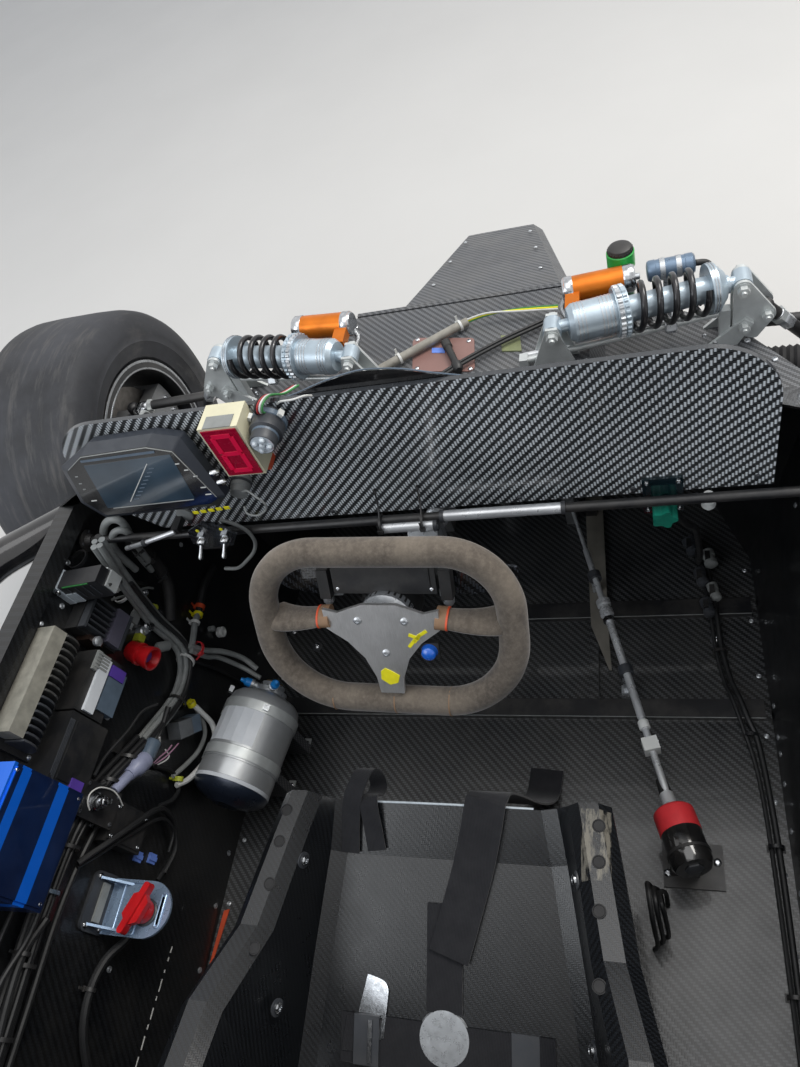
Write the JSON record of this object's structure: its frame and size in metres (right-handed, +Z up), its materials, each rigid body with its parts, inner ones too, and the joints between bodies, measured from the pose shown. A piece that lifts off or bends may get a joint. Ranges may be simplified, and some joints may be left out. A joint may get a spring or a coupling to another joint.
{
  "type": "open sports prototype race car",
  "caption": "Low open race car with a central seat, its front bodywork off, inboard front dampers over the footbox, side pods, rear deck and rear wing.",
  "frame": {"origin": "on the ground under the middle of the car", "axes": "+X forward, +Y to the driver's left, +Z up"},
  "size_m": [3.732, 1.84, 1.0225],
  "materials": {
    "bare_metal": "brushed",
    "black_paint": "gloss black paint",
    "black_plastic": "fine grain",
    "bottle_silver": "satin silver paint",
    "carbon": "glossy lacquered woven carbon",
    "carbon_matte": "matte woven carbon",
    "cast_alloy": "as cast",
    "orange_anodised": "orange anodised",
    "rim_black": "satin black",
    "rubber": "ribbed",
    "silver": "machined and anodised",
    "spring_black": "black powder coat",
    "suede": "worn brushed suede",
    "tyre": "scuffed slick",
    "webbing": "woven webbing",
    "white_paint": "gloss white gelcoat"
  },
  "bodies": {
    "chassis": {"brake_ducts": "rubber", "bulkheads": "carbon", "coil_springs": "spring_black", "column_bracket": "bare_metal", "control_boxes": "black_plastic", "crash_box": "carbon_matte", "damper_brackets": "silver", "damper_canisters": "orange_anodised", "dampers": "silver", "dash_display": "black_plastic", "dash_panel": "carbon", "dash_switches": "black_plastic", "diffuser": "carbon", "engine_block": "cast_alloy", "engine_frame": "black_paint", "exhaust": "bare_metal", "fire_bottle": "bottle_silver", "floor_pan": "carbon", "fluid_reservoirs": "black_plastic", "footbox_cover": "carbon", "front_pushrods": "black_paint", "front_rockers": "silver", "front_wishbones": "black_paint", "gear_indicator": "black_plastic", "gear_linkage": "black_plastic", "gearbox": "cast_alloy", "harness": "webbing", "isolator_switch": "silver", "pedals": "silver", "radiators": "silver", "rear_deck": "white_paint", "rear_fenders": "white_paint", "rear_uprights": "silver", "rear_wing": "carbon", "rear_wishbones": "black_paint", "roll_hoop": "black_paint", "scuttle_cowl": "black_paint", "seat_shell": "carbon", "side_pods": "white_paint", "side_tubes": "black_paint", "side_walls": "carbon", "steering_rack": "silver", "wing_pylons": "silver", "wiring_looms": "rubber"},
    "steering_wheel": {"steering_wheel": "suede", "shift_unit": "black_plastic", "steering_column": "bare_metal"},
    "steering_rack_bar": {"track_rods": "black_paint"},
    "knuckle_left": {"upright_front_left": "silver"},
    "knuckle_right": {"upright_front_right": "silver"},
    "wheel_front_left": {"rim_front_left": "rim_black", "tyre_front_left": "tyre"},
    "wheel_front_right": {"rim_front_right": "rim_black", "tyre_front_right": "tyre"},
    "wheel_rear_left": {"rim_rear_left": "rim_black", "tyre_rear_left": "tyre", "drive_shaft_left": "bare_metal"},
    "wheel_rear_right": {"rim_rear_right": "rim_black", "tyre_rear_right": "tyre", "drive_shaft_right": "bare_metal"}
  },
  "joints": [
    {"name": "steer", "type": "hinge", "parent": "chassis", "child": "steering_wheel", "pos_m": [0.75, 0, 0.611], "axis": [-0.8871, 0, 0.4616], "range_deg": [-180, 180]},
    {"name": "rack", "type": "slide", "parent": "chassis", "child": "steering_rack_bar", "axis": [0, 1, 0], "range_m": [-0.034, 0.034]},
    {"name": "kingpin_left", "type": "hinge", "parent": "chassis", "child": "knuckle_left", "pos_m": [1.385, 0.706, 0.165], "axis": [-0.0433, -0.0865, 0.9953], "range_deg": [-20.5, 20.5]},
    {"name": "kingpin_right", "type": "hinge", "parent": "chassis", "child": "knuckle_right", "pos_m": [1.385, -0.706, 0.165], "axis": [-0.0433, 0.0865, 0.9953], "range_deg": [-20.5, 20.5]},
    {"name": "spin_front_left", "type": "hinge", "parent": "knuckle_left", "child": "wheel_front_left", "pos_m": [1.38, 0.8, 0.28], "axis": [0, 1, 0], "continuous": true},
    {"name": "spin_front_right", "type": "hinge", "parent": "knuckle_right", "child": "wheel_front_right", "pos_m": [1.38, -0.8, 0.28], "axis": [0, 1, 0], "continuous": true},
    {"name": "spin_rear_left", "type": "hinge", "parent": "chassis", "child": "wheel_rear_left", "pos_m": [-1.12, 0.78, 0.29], "axis": [0, 1, 0], "continuous": true},
    {"name": "spin_rear_right", "type": "hinge", "parent": "chassis", "child": "wheel_rear_right", "pos_m": [-1.12, -0.78, 0.29], "axis": [0, 1, 0], "continuous": true}
  ],
  "couplings": [
    {"joint": "rack", "follows": "steer", "m_per_rad": -0.010345},
    {"joint": "kingpin_left", "follows": "steer", "ratio": 0.11111},
    {"joint": "kingpin_right", "follows": "steer", "ratio": 0.11111}
  ]
}
